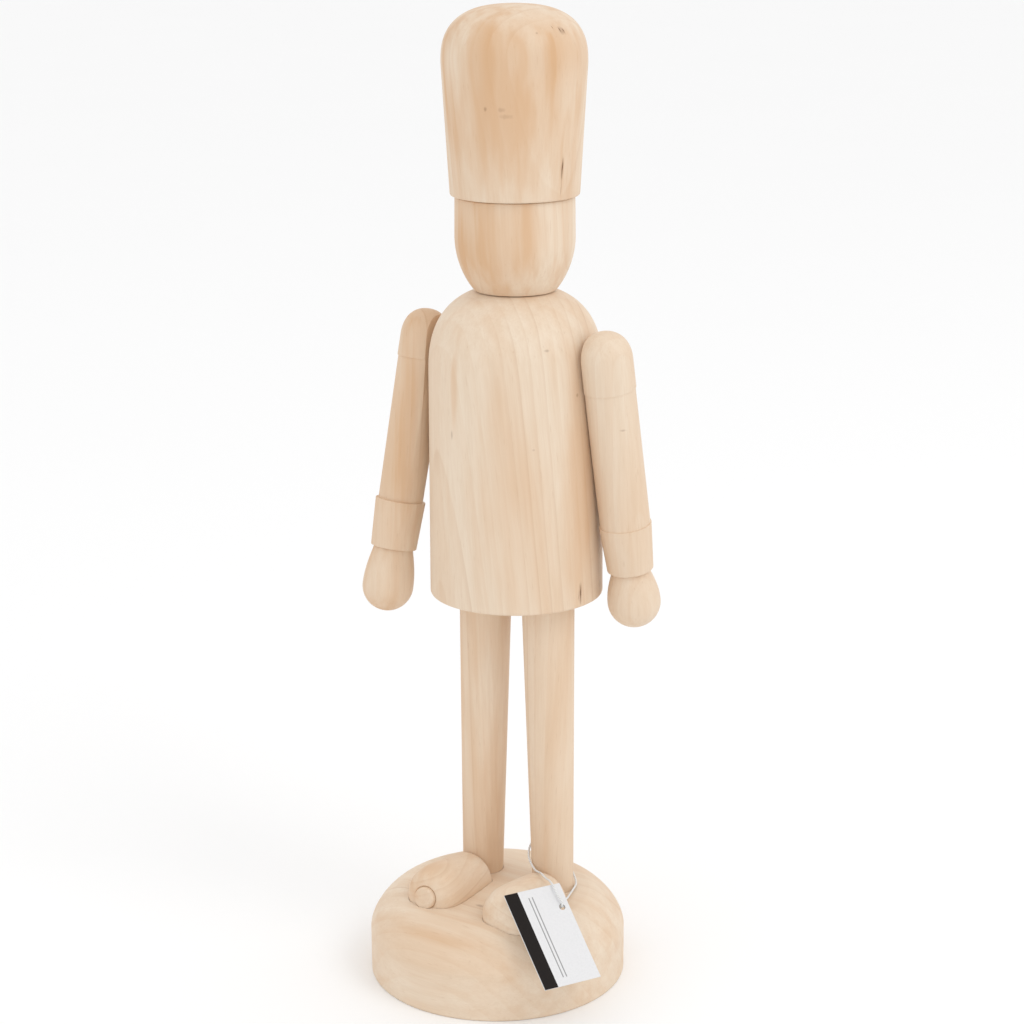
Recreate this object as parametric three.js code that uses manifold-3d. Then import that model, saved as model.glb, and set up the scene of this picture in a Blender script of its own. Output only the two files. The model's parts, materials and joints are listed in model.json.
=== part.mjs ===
// Blank wooden toy soldier on a domed round base. Millimetres, +Z up. The figure faces -Y and its
// left side is +X; the origin is the centre of the base's underside.
import * as THREE from 'three';
import { mergeVertices } from 'three/addons/utils/BufferGeometryUtils.js';
import Module from 'manifold-3d';

// Fit between a piece and the hole or pocket it sits in.
const FIT = 0.35;

// Base.
const BASE_R = 50;
const BASE_WALL = 18.0;
const BASE_TOP = 33.0;
const BASE_FLAT_R = 35.7;
const BASE_ROUND = 1.55;
const BASE_CHAMFER = 0.8;
const BASE_CROWN = 0.3;

// Where the figure's axis stands on the base.
const AXIS_X = 1.7;
const AXIS_Y = 12.0;

// Legs: straight tapers that lean in slightly towards the torso.
const LEG_TOP_Z = 152.65;
const LEG_LOW_Z = 35.8;
const LEG_TOP_R = 10.18;
const LEG_LOW_R = 8.08;
const LEG_TOP_HALF = 14.42;
const LEG_LOW_HALF = 16.63;
const LEG_END_Z = 13.0;
const TENON_R = 6.0;
const TENON_LENGTH = 20;

// Feet: turned eggs lying half sunk in the base. The right one keeps the small nub that the lathe
// left at its toe; the left one's is sanded away.
const FOOT_R = 11.64;
const FOOT_HEEL = 8.6;
const FOOT_TOE = 43.0;
const FOOT_HEEL_ROUND = 3.95;
const FOOT_NOSE = 15.7;
const FOOT_NOSE_POWER = 3.31;
const FOOT_Z = 29.6;
const FOOT_OUT = 0.95;
const FOOT_TURN = 3.6;
const FOOT_LIFT = 8.9;
const NUB_R = 4.4;
const NUB_END_R = 3.8;
const NUB_LENGTH = 1.3;

// Torso.
const TORSO_LOW_Z = 153.0;
const TORSO_LOW_R = 33.08;
const TORSO_SHOULDER_Z = 238.9;
const TORSO_R = 32.73;
const TORSO_DOME_RISE = 32.74;
const TORSO_DOME_POWER = 2.55;
const TORSO_TOP_Z = 269.93;

// Head and hat.
const HEAD_LOW_Z = 270.25;
const HEAD_WIDE_Z = 290.2;
const HEAD_R = 22.44;
const HEAD_TOP_R = 22.26;
const HEAD_TOP_Z = 305.25;
const HEAD_CUP_DROP = 28.14;
const HEAD_CUP_POWER = 1.91;
const HAT_LOW_Z = 305.56;
const HAT_LOW_R = 24.0;
const HAT_WIDE_Z = 353.5;
const HAT_WIDE_R = 26.8;
const HAT_TOP_Z = 374.4;
const HAT_DOME_POWER = 2.62;
const HAT_RIM_ROUND = 0.9;

// Dowels in the neck and under the hat.
const DOWEL_R = 5.0;
const DOWEL_HALF = 13.0;

// Arms: distances run down the arm from the top of its cap. Each arm is its own turning, with its
// own place on its pin.
const ARM_HALF = 39.4;
const ARM_FLAT_HALF = 33.45;
const CAP_DOME = 10.9;
const CAP_POWER = 2.2;
const ARM_RIGHT = {
  y: 8.52,
  z: 247.8,
  splay: 3.2,
  swing: 11.8,
  capR: 9.43,
  cap: 19.1,
  topR: 9.08,
  lowR: 8.61,
  sleeve: 74.4,
  cuffTopR: 9.67,
  cuffLowR: 8.84,
  cuff: 93.0,
  wristR: 7.5,
  handR: 9.86,
  end: 118.1,
};
const ARM_LEFT = {
  y: 13.0,
  z: 246.9,
  splay: 2.4,
  swing: -8.85,
  capR: 9.91,
  cap: 21.9,
  topR: 9.6,
  lowR: 9.55,
  sleeve: 75.7,
  cuffTopR: 9.98,
  cuffLowR: 8.79,
  cuff: 94.2,
  wristR: 6.8,
  handR: 10.12,
  end: 117.8,
};
const PIN_DOWN = 11.5;

// Shoulder pins.
const PIN_R = 3.0;
const PIN_IN = 15.0;
const PIN_OUT = 9.5;

// Swing tag and its cord.
const TAG_W = 25.0;
const TAG_H = 40.0;
const TAG_T = 0.5;
const TAG_AT = [42.0, -24.9, 32.6];
const TAG_YAW = 68.9;
const TAG_TILT = -48.7;
const TAG_ROLL = 3.5;
const TAG_HOLE_X = 9.3;
const TAG_HOLE_Z = 10.3;
const TAG_HOLE_R = 1.25;
const CORD_R = 0.4;
// From behind the card, through its hole, over the foot, round the leg and back behind the card.
const CORD_PATH = [
  [36.2, -12.0, 38.7], [37.6, -12.6, 38.4], [38.9, -13.2, 39.6], [38.4, -12.9, 41.5],
  [36.3, -12.4, 43.2], [33.9, -11.4, 45.7], [30.4, -8.9, 46.3], [26.8, -5.7, 45.1],
  [22.7, -2.8, 45.0], [15.7, 2.7, 43.4], [10.8, 6.2, 46.4], [8.7, 12.0, 49.4],
  [10.9, 18.3, 47.8], [16.1, 21.4, 42.6], [21.8, 20.8, 37.0], [25.9, 17.2, 34.5],
  [27.9, 12.0, 34.2], [29.6, 6.9, 34.5], [31.3, 2.2, 35.0], [32.7, -2.6, 35.9],
  [34.1, -7.2, 37.3], [35.2, -10.4, 38.6],
];

const BIG = 200;
const rad = THREE.MathUtils.degToRad;
const wasm = await Module();
wasm.setup();

function superellipse(power, steps) {
  const out = [];
  for (let i = 0; i <= steps; i += 1) {
    const a = (i / steps) * Math.PI / 2;
    out.push([Math.cos(a) ** (2 / power), Math.sin(a) ** (2 / power)]);
  }
  return out;
}

// Turns a profile of [radius, height] points, bottom first, into a solid about the Z axis.
function turned(profile, segments) {
  const points = profile.map(([r, z]) => new THREE.Vector2(Math.max(r, 0), z));
  const geometry = new THREE.LatheGeometry(points, segments);
  geometry.rotateX(Math.PI / 2);
  return geometry;
}

function toSolid(geometry) {
  const bare = geometry.clone();
  bare.deleteAttribute('normal');
  bare.deleteAttribute('uv');
  const merged = mergeVertices(bare, 1e-4);
  const position = Float32Array.from(merged.attributes.position.array);
  const index = Uint32Array.from(merged.index.array);
  const tri = [];
  for (let i = 0; i < index.length; i += 3) {
    const [a, b, c] = [index[i], index[i + 1], index[i + 2]];
    if (a !== b && b !== c && c !== a) {
      tri.push(a, b, c);
    }
  }
  const mesh = new wasm.Mesh({
    numProp: 3,
    vertProperties: position,
    triVerts: Uint32Array.from(tri),
  });
  return new wasm.Manifold(mesh);
}

function toGeometry(solid) {
  const mesh = solid.getMesh();
  const geometry = new THREE.BufferGeometry();
  geometry.setAttribute('position', new THREE.BufferAttribute(mesh.vertProperties, 3));
  geometry.setIndex(new THREE.BufferAttribute(mesh.triVerts, 1));
  return geometry;
}

// A copy of a solid moved so that its +Z axis points along a direction from a point.
function aimed(geometry, from, direction) {
  const turn = new THREE.Quaternion().setFromUnitVectors(
    new THREE.Vector3(0, 0, 1),
    direction.clone().normalize(),
  );
  return geometry.clone().applyQuaternion(turn).translate(from.x, from.y, from.z);
}

function box(x0, x1, y0, y1, z0, z1) {
  const geometry = new THREE.BoxGeometry(x1 - x0, y1 - y0, z1 - z0);
  return geometry.translate((x0 + x1) / 2, (y0 + y1) / 2, (z0 + z1) / 2);
}

function piece(name, geometry, colour) {
  const bare = geometry.clone();
  bare.deleteAttribute('normal');
  bare.deleteAttribute('uv');
  const merged = mergeVertices(bare, 1e-4);
  merged.computeVertexNormals();
  const material = new THREE.MeshStandardMaterial({ color: colour, roughness: 0.7 });
  const mesh = new THREE.Mesh(merged, material);
  mesh.name = name;
  return mesh;
}

// Legs.

function legFrame(side, grow) {
  const low = new THREE.Vector3(AXIS_X + side * LEG_LOW_HALF, AXIS_Y, LEG_LOW_Z);
  const top = new THREE.Vector3(AXIS_X + side * LEG_TOP_HALF, AXIS_Y, LEG_TOP_Z);
  const along = top.clone().sub(low).normalize();
  const below = (LEG_LOW_Z - LEG_END_Z + grow) / along.z;
  return { along, from: low.clone().addScaledVector(along, -below), length: top.distanceTo(low) + below };
}

function legBody(side, grow, segments) {
  const { along, from, length } = legFrame(side, grow);
  const slope = (LEG_TOP_R - LEG_LOW_R) / (LEG_TOP_Z - LEG_LOW_Z);
  const endR = LEG_TOP_R - slope * length + grow;
  const edge = 0.6;
  const profile = [
    [0, 0], [endR - edge, 0], [endR, edge], [LEG_TOP_R + grow, length],
    [TENON_R + grow, length], [TENON_R + grow, length + TENON_LENGTH - edge + grow],
    [TENON_R - edge + grow, length + TENON_LENGTH + grow], [0, length + TENON_LENGTH + grow],
  ];
  return aimed(turned(profile, segments), from, along);
}

// Feet.

function footProfile(grow, hasNub) {
  const r = FOOT_R + grow;
  const round = superellipse(2, 4);
  const nose = superellipse(FOOT_NOSE_POWER, 8);
  const heel = FOOT_HEEL - grow;
  const profile = [[0, heel]];
  for (const [c, s] of round) {
    profile.push([r - FOOT_HEEL_ROUND + FOOT_HEEL_ROUND * s, heel + FOOT_HEEL_ROUND * (1 - c)]);
  }
  const start = FOOT_TOE - FOOT_NOSE;
  const end = FOOT_NOSE + grow;
  const rim = hasNub ? NUB_R + grow : 0;
  for (const [c, s] of nose) {
    if (r * c > rim + 0.01) {
      profile.push([r * c, start + end * s]);
    }
  }
  if (!hasNub) {
    profile.push([0, start + end]);
    return profile;
  }
  profile.push([rim, start + end * (1 - (rim / r) ** FOOT_NOSE_POWER) ** (1 / FOOT_NOSE_POWER)]);
  profile.push([rim - 0.1, FOOT_TOE + NUB_LENGTH - 0.5 + grow]);
  profile.push([NUB_END_R + grow, FOOT_TOE + NUB_LENGTH + grow]);
  profile.push([0, FOOT_TOE + NUB_LENGTH + grow]);
  return profile;
}

function footBody(side, grow, segments) {
  const from = new THREE.Vector3(AXIS_X + side * (LEG_LOW_HALF + FOOT_OUT), AXIS_Y, FOOT_Z);
  const flat = Math.cos(rad(FOOT_LIFT));
  const turn = rad(FOOT_TURN);
  const ahead = new THREE.Vector3(flat * Math.sin(turn), -flat * Math.cos(turn), Math.sin(rad(FOOT_LIFT)));
  return aimed(turned(footProfile(grow, side < 0), segments), from, ahead);
}

function foot(side) {
  const leg = toSolid(legBody(side, FIT, 32));
  return toGeometry(toSolid(footBody(side, 0, 36)).subtract(leg));
}

// Base.

function baseBlank() {
  const profile = [[0, 0], [BASE_R - BASE_CHAMFER, 0], [BASE_R, BASE_CHAMFER]];
  for (const [c, s] of superellipse(BASE_ROUND, 9)) {
    profile.push([
      BASE_FLAT_R + (BASE_R - BASE_FLAT_R) * c,
      BASE_WALL + (BASE_TOP - BASE_WALL) * s,
    ]);
  }
  profile.push([BASE_FLAT_R / 2, BASE_TOP + 0.75 * BASE_CROWN]);
  profile.push([0, BASE_TOP + BASE_CROWN]);
  return toSolid(turned(profile, 64));
}

function base() {
  let solid = baseBlank();
  for (const side of [-1, 1]) {
    solid = solid.subtract(toSolid(legBody(side, FIT, 32)));
    solid = solid.subtract(toSolid(footBody(side, FIT, 36)));
  }
  return toGeometry(solid);
}

// Torso.

function torsoBlank() {
  const edge = 0.8;
  const profile = [[0, TORSO_LOW_Z], [TORSO_LOW_R - edge, TORSO_LOW_Z], [TORSO_LOW_R, TORSO_LOW_Z + edge]];
  for (const [c, s] of superellipse(TORSO_DOME_POWER, 12)) {
    const z = TORSO_SHOULDER_Z + TORSO_DOME_RISE * s;
    if (z < TORSO_TOP_Z - 0.2) {
      profile.push([TORSO_R * c, z]);
    }
  }
  const k = (TORSO_TOP_Z - TORSO_SHOULDER_Z) / TORSO_DOME_RISE;
  profile.push([TORSO_R * (1 - k ** TORSO_DOME_POWER) ** (1 / TORSO_DOME_POWER), TORSO_TOP_Z]);
  profile.push([0, TORSO_TOP_Z]);
  return toSolid(turned(profile, 56).translate(AXIS_X, AXIS_Y, 0));
}

function dowelHole(z0, z1) {
  const profile = [[0, z0], [DOWEL_R + FIT, z0], [DOWEL_R + FIT, z1], [0, z1]];
  return toSolid(turned(profile, 32).translate(AXIS_X, AXIS_Y, 0));
}

function torso() {
  let solid = torsoBlank();
  solid = solid.subtract(dowelHole(HEAD_LOW_Z - DOWEL_HALF - 1, TORSO_TOP_Z + 5));
  for (const side of [-1, 1]) {
    solid = solid.subtract(toSolid(legBody(side, FIT, 32)));
    solid = solid.subtract(toSolid(pinBody(side, FIT)));
  }
  return toGeometry(solid);
}

// Head, hat and the dowels that join them.

function head() {
  const profile = [[0, HEAD_LOW_Z]];
  const k = (HEAD_WIDE_Z - HEAD_LOW_Z) / HEAD_CUP_DROP;
  const flat = HEAD_R * (1 - k ** HEAD_CUP_POWER) ** (1 / HEAD_CUP_POWER);
  profile.push([flat, HEAD_LOW_Z]);
  for (const [c, s] of superellipse(HEAD_CUP_POWER, 12).reverse()) {
    const z = HEAD_WIDE_Z - HEAD_CUP_DROP * s;
    if (z > HEAD_LOW_Z + 0.2) {
      profile.push([HEAD_R * c, z]);
    }
  }
  profile.push([HEAD_TOP_R, HEAD_TOP_Z], [0, HEAD_TOP_Z]);
  const blank = toSolid(turned(profile, 52).translate(AXIS_X, AXIS_Y, 0));
  const low = dowelHole(HEAD_LOW_Z - 5, HEAD_LOW_Z + DOWEL_HALF + 1);
  const top = dowelHole(HAT_LOW_Z - DOWEL_HALF - 1, HAT_LOW_Z + 5);
  return toGeometry(blank.subtract(low).subtract(top));
}

function hat() {
  const profile = [[0, HAT_LOW_Z], [HAT_LOW_R - HAT_RIM_ROUND, HAT_LOW_Z]];
  for (const a of [30, 60, 90]) {
    profile.push([
      HAT_LOW_R - HAT_RIM_ROUND * (1 - Math.sin(rad(a))),
      HAT_LOW_Z + HAT_RIM_ROUND * (1 - Math.cos(rad(a))),
    ]);
  }
  for (const [c, s] of superellipse(HAT_DOME_POWER, 12)) {
    profile.push([HAT_WIDE_R * c, HAT_WIDE_Z + (HAT_TOP_Z - HAT_WIDE_Z) * s]);
  }
  const blank = toSolid(turned(profile, 52).translate(AXIS_X, AXIS_Y, 0));
  return toGeometry(blank.subtract(dowelHole(HAT_LOW_Z - 5, HAT_LOW_Z + DOWEL_HALF + 1)));
}

function dowel(z) {
  const edge = 0.6;
  const profile = [
    [0, z - DOWEL_HALF], [DOWEL_R - edge, z - DOWEL_HALF], [DOWEL_R, z - DOWEL_HALF + edge],
    [DOWEL_R, z + DOWEL_HALF - edge], [DOWEL_R - edge, z + DOWEL_HALF], [0, z + DOWEL_HALF],
  ];
  return turned(profile, 32).translate(AXIS_X, AXIS_Y, 0);
}

// Arms and the pins they turn on.

function armFrame(side) {
  const { y, z, splay, swing } = side < 0 ? ARM_RIGHT : ARM_LEFT;
  const down = new THREE.Vector3(side * Math.sin(rad(splay)), -Math.sin(rad(swing)), -1).normalize();
  const pivot = new THREE.Vector3(AXIS_X + side * ARM_HALF, y, z);
  return { down, pivot, from: pivot.clone().addScaledVector(down, -PIN_DOWN) };
}

function armProfile(turning) {
  const { capR, cap, topR, lowR, sleeve, cuffTopR, cuffLowR, cuff, wristR, handR, end } = turning;
  const step = 0.05;
  const profile = [];
  for (const [c, s] of superellipse(CAP_POWER, 9).reverse()) {
    profile.push([capR * c, CAP_DOME * (1 - s)]);
  }
  profile.push([capR, cap], [topR, cap + step]);
  profile.push([lowR, sleeve - step], [cuffTopR, sleeve]);
  profile.push([cuffLowR, cuff], [wristR, cuff + step]);
  const middle = end - handR;
  for (let i = 1; i <= 5; i += 1) {
    const s = Math.sin((i / 5) * Math.PI / 2);
    profile.push([wristR + (handR - wristR) * s, cuff + (middle - cuff) * (i / 5)]);
  }
  for (let i = 1; i <= 8; i += 1) {
    const a = (i / 8) * Math.PI / 2;
    profile.push([handR * Math.cos(a), middle + handR * Math.sin(a)]);
  }
  return profile;
}

function pinBody(side, grow) {
  const { pivot } = armFrame(side);
  const start = ARM_FLAT_HALF - PIN_IN - grow;
  const end = ARM_FLAT_HALF + PIN_OUT + grow;
  const edge = 0.5;
  const r = PIN_R + grow;
  const profile = [
    [0, start], [r - edge, start], [r, start + edge],
    [r, end - edge], [r - edge, end], [0, end],
  ];
  const from = new THREE.Vector3(AXIS_X, pivot.y, pivot.z);
  return aimed(turned(profile, 28), from, new THREE.Vector3(side, 0, 0));
}

function arm(side) {
  const { down, from } = armFrame(side);
  const blank = toSolid(aimed(turned(armProfile(side < 0 ? ARM_RIGHT : ARM_LEFT), 36), from, down));
  const inner = AXIS_X + side * ARM_FLAT_HALF;
  const low = side < 0 ? inner : inner - 30;
  const cut = box(low, low + 30, -BIG, BIG, 0, 400);
  return toGeometry(blank.subtract(toSolid(cut)).subtract(toSolid(pinBody(side, FIT))));
}

// Swing tag.

function tagPlace() {
  const euler = new THREE.Euler(rad(TAG_TILT), rad(TAG_ROLL), rad(TAG_YAW), 'ZXY');
  const turn = new THREE.Matrix4().makeRotationFromEuler(euler);
  return new THREE.Matrix4().makeTranslation(...TAG_AT).multiply(turn);
}

function tag() {
  const card = toSolid(box(-TAG_W / 2, TAG_W / 2, -TAG_T / 2, TAG_T / 2, -TAG_H / 2, TAG_H / 2));
  const profile = [[0, -2], [TAG_HOLE_R, -2], [TAG_HOLE_R, 2], [0, 2]];
  const at = new THREE.Vector3(TAG_HOLE_X, 0, TAG_HOLE_Z);
  const hole = toSolid(aimed(turned(profile, 24), at, new THREE.Vector3(0, 1, 0)));
  return toGeometry(card.subtract(hole)).applyMatrix4(tagPlace());
}

function cord() {
  const path = new THREE.CatmullRomCurve3(CORD_PATH.map((p) => new THREE.Vector3(...p)));
  const round = new THREE.Shape();
  round.absarc(0, 0, CORD_R, 0, 2 * Math.PI, false);
  return new THREE.ExtrudeGeometry(round, { steps: 76, curveSegments: 4, extrudePath: path });
}

function soldier() {
  const wood = 0xd9b98c;
  const group = new THREE.Group();
  group.name = 'toy_soldier';
  group.add(piece('base', base(), wood));
  group.add(piece('torso', torso(), wood));
  group.add(piece('head', head(), wood));
  group.add(piece('hat', hat(), wood));
  group.add(piece('neck_dowel', dowel(HEAD_LOW_Z), wood));
  group.add(piece('hat_dowel', dowel(HAT_LOW_Z), wood));
  for (const [side, word] of [[-1, 'right'], [1, 'left']]) {
    group.add(piece(`leg_${word}`, legBody(side, 0, 32), wood));
    group.add(piece(`foot_${word}`, foot(side), wood));
    group.add(piece(`arm_${word}`, arm(side), wood));
    group.add(piece(`shoulder_pin_${word}`, pinBody(side, 0), wood));
  }
  group.add(piece('swing_tag', tag(), 0xe8e8e6));
  group.add(piece('tag_cord', cord(), 0xf4f4f2));
  return group;
}

export default soldier();
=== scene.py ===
"""A blank wooden toy soldier: turned figure, round base, small card tag on a cord.

Everything is in metres, +Z up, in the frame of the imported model. The figure faces -Y, and its own
left side is +X.
"""
import json
import math
from collections import namedtuple

import bmesh
import bpy
from bpy.props import FloatProperty, FloatVectorProperty, IntProperty, PointerProperty
from mathutils import Euler, Matrix, Vector


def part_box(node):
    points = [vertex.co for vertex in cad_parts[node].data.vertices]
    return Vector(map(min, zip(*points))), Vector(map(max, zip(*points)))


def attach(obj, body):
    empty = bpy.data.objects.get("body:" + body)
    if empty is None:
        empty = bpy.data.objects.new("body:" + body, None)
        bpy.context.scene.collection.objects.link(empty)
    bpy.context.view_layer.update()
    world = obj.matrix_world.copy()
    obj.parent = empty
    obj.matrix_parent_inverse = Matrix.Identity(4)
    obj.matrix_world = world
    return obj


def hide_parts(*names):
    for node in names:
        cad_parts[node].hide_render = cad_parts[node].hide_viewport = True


bl_info = {
    "name": "Blank Toy Soldier",
    "version": (1, 0, 0),
    "blender": (4, 5, 0),
    "location": "3D View > Sidebar > Toy Soldier",
    "description": "Turns an unpainted wooden soldier on a round base, with a card tag on a cord",
    "category": "Add Mesh",
}

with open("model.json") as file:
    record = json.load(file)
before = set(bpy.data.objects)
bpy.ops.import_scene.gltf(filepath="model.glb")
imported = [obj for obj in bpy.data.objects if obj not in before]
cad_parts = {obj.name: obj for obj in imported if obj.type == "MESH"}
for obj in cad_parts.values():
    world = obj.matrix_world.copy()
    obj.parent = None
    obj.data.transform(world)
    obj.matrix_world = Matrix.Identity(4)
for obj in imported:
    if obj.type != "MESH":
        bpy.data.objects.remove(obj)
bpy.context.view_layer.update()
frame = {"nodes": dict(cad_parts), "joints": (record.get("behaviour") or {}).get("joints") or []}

MM = 0.001
UP = Vector((0, 0, 1))
SIDES = {"right": -1, "left": 1}
BODY = "figure"


def middle(node):
    """The centre of a node's box."""
    low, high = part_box(node)
    return (low + high) / 2


def span(node):
    """The size of a node's box."""
    low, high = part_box(node)
    return high - low


AXIS = Vector((middle("torso").x, middle("torso").y, 0))


# Settings.


def size(name, description, millimetres):
    """A length that the maker can change."""
    return FloatProperty(
        name=name, description=description, default=millimetres * MM, unit="LENGTH", min=0
    )


def spot(name, description, millimetres):
    """A place that the maker can change."""
    place = tuple(distance * MM for distance in millimetres)
    return FloatVectorProperty(name=name, description=description, default=place, unit="LENGTH")


def angle(name, description, degrees):
    """An angle that the maker can change."""
    return FloatProperty(name=name, description=description, default=math.radians(degrees), unit="ROTATION")


def power(name, description, default):
    """How square a dome's outline is: 2 is an ellipse."""
    return FloatProperty(name=name, description=description, default=default, min=1, max=8)


def colour(name, description, default):
    """A colour that the maker can change."""
    return FloatVectorProperty(
        name=name, description=description, default=default, subtype="COLOR", size=3, min=0, max=1
    )


class SoldierBase(bpy.types.PropertyGroup):
    """Sizes of the round base."""

    wall: size("Wall", "Height of the upright wall under the rounded shoulder", 18.0)
    flat: size("Flat Radius", "Radius at which the shoulder meets the top", 35.7)
    crown: size("Crown", "How far the top rises towards its middle", 0.3)
    squareness: power("Shoulder Squareness", "How square the rounded shoulder is", 1.55)
    edge: size("Lower Edge", "Radius of the edge round the underside", 0.8)
    gap: size("Glue Line", "Gap round the legs and feet in their holes", 0.14)


class SoldierFigure(bpy.types.PropertyGroup):
    """Sizes of the torso, head and hat."""

    torso_low: size("Torso Lower Radius", "Radius at the hem", 33.08)
    torso_high: size("Torso Upper Radius", "Radius where the shoulders begin", 32.73)
    shoulder: size("Shoulder Height", "Height at which the shoulders begin", 238.9)
    shoulder_rise: size("Shoulder Rise", "Rise of the shoulders if they closed to a point", 32.74)
    shoulder_power: power("Shoulder Squareness", "How square the shoulders are", 2.55)
    cheek: size("Cheek Height", "Height at which the head starts to round in", 290.2)
    cheek_radius: size("Cheek Radius", "The head's largest radius", 22.44)
    brow_radius: size("Brow Radius", "The head's radius under the hat", 22.26)
    chin_drop: size("Chin Drop", "Depth of the chin if it closed to a point", 28.14)
    chin_power: power("Chin Squareness", "How square the chin is", 1.91)
    rim_radius: size("Hat Rim Radius", "Radius of the hat's rim", 24.0)
    rim_edge: size("Hat Rim Edge", "Radius of the rounded edge of the rim", 0.9)
    crown_low: size("Crown Height", "Height at which the hat's crown begins", 353.5)
    crown_power: power("Crown Squareness", "How square the hat's crown is", 2.62)


class SoldierLimbs(bpy.types.PropertyGroup):
    """Sizes of the legs, feet and arms."""

    leg_high: size("Leg Upper Height", "Height of the leg's shoulder under the torso", 152.65)
    leg_low: size("Leg Lower Height", "Height at which the leg's lower sizes are taken", 35.8)
    leg_end: size("Leg End", "Height of the leg's end inside the base", 13.0)
    leg_high_radius: size("Leg Upper Radius", "Radius under the torso", 10.18)
    leg_low_radius: size("Leg Lower Radius", "Radius just above the base", 8.08)
    leg_high_half: size("Leg Upper Spacing", "Half the distance between the legs at the top", 14.42)
    leg_low_half: size("Leg Lower Spacing", "Half the distance between the legs at the base", 16.63)
    tenon_radius: size("Tenon Radius", "Radius of the tenon inside the torso", 6.0)
    tenon_length: size("Tenon Length", "Length of the tenon inside the torso", 20.0)
    foot_radius: size("Foot Radius", "Largest radius of a foot", 11.64)
    foot_heel: size("Heel", "Distance from the leg's line to the heel's end", 8.6)
    foot_toe: size("Toe", "Distance from the leg's line to the toe's end", 43.0)
    foot_nose: size("Toe Rounding", "Length of the rounded toe", 15.7)
    foot_power: power("Toe Squareness", "How square the toe is", 3.31)
    heel_round: size("Heel Rounding", "Radius of the heel's rounded edge", 3.95)
    foot_height: size("Foot Height", "Height of the foot's line at the leg", 29.6)
    foot_out: size("Foot Offset", "How far outside the leg the foot's line lies", 0.95)
    foot_turn: angle("Foot Turn", "How far the toes turn to the figure's left", 3.6)
    foot_lift: angle("Foot Lift", "How far the toes are lifted", 8.9)
    nub_radius: size("Toe Nub Radius", "Radius of the small nub left by the lathe", 4.4)
    nub_end_radius: size("Toe Nub End Radius", "Radius of the nub's end", 3.8)
    nub_length: size("Toe Nub Length", "How far the nub stands out", 1.3)
    nub_groove: size("Toe Nub Groove", "Depth of the groove round the nub", 0.55)
    cap_dome: size("Arm Cap Dome", "Depth of the shoulder cap's dome", 10.9)
    arm_flat: size("Arm Flat", "Distance from the figure's middle to the arm's flat side", 33.45)
    pin_drop: size("Pin Drop", "Distance from the cap's top down to the pin", 11.5)
    pin_radius: size("Pin Radius", "Radius of the shoulder pin's hole", 3.35)
    pin_reach: size("Pin Reach", "How far the pin's hole runs into the arm", 9.85)
    pin_depth: size("Pin Depth", "How far the pin's hole runs into the torso", 15.35)


class SoldierTag(bpy.types.PropertyGroup):
    """Sizes of the card tag and its cord."""

    width: size("Width", "Width of the card", 25.0)
    height: size("Height", "Height of the card", 40.0)
    thickness: size("Thickness", "Thickness of the card", 0.42)
    place: spot("Place", "The card's centre", (42.0, -24.9, 32.6))
    turn: angle("Turn", "How far the card turns about the upright", 68.9)
    tilt: angle("Tilt", "How far the card leans back", -48.7)
    roll: angle("Roll", "How far the card turns in its own plane", 3.5)
    curl: size("Curl", "How far the card's corners curl out of flat", 0.22)
    hole_across: size("Hole Across", "Distance of the hole from the card's middle, across", 9.3)
    hole_up: size("Hole Up", "Distance of the hole from the card's middle, upward", 10.3)
    hole_radius: size("Hole Radius", "Radius of the hole", 1.25)
    cord_radius: size("Cord Radius", "Radius of the cord", 0.4)


class SoldierLook(bpy.types.PropertyGroup):
    """Colours and strengths of the finishes."""

    pale: colour("Pale Wood", "The wood between its growth lines", (0.79, 0.660, 0.520))
    # Also the tone of the painted shade on the torso under the left arm.
    warm: colour("Warm Wood", "The soft warm patches", (0.655, 0.405, 0.225))
    line: colour("Growth Line", "The thin late-wood lines", (0.44, 0.235, 0.11))
    fibre: colour("Fibre", "The fine darker fibres", (0.60, 0.41, 0.25))
    flaw: colour("Flaw", "Knots and the insides of cracks", (0.16, 0.06, 0.022))
    card: colour("Card", "The unprinted card", (0.76, 0.76, 0.77))
    ink: colour("Ink", "The printed band", (0.007, 0.004, 0.003))
    cord: colour("Cord", "The cord", (0.86, 0.86, 0.85))
    floor: colour("Floor", "The floor", (0.95, 0.95, 0.95))
    segments: IntProperty(
        name="Segments", description="Flats round a turned piece", default=160, min=24, max=512
    )


class SoldierStage(bpy.types.PropertyGroup):
    """The camera and the light."""

    camera_place: spot("Camera Place", "Where the camera stands", (497.8, -726.4, 436.6))
    camera_turn: angle("Camera Turn", "The camera's turn about the upright", 34.0)
    camera_drop: angle("Camera Drop", "How far the camera looks down", 15.85)
    camera_roll: angle("Camera Roll", "The camera's turn about its own line", -0.27)
    lens: FloatProperty(
        name="Lens", description="Focal length, in millimetres of a 36 mm sensor", default=85.2
    )
    sky: FloatProperty(name="Sky", description="Strength of the even light from all round", default=1.0)
    key: FloatProperty(name="Key Light", description="Power of the large soft lamp", default=4.8)
    fill: FloatProperty(name="Fill Light", description="Power of the soft lamp opposite", default=0.3)


# Outlines and turned solids.


def ellipse(squareness, steps):
    """Points of a quarter of a superellipse, from (1, 0) to (0, 1)."""
    quarter = [math.pi / 2 * i / steps for i in range(steps + 1)]
    return [(math.cos(a) ** (2 / squareness), math.sin(a) ** (2 / squareness)) for a in quarter]


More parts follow.
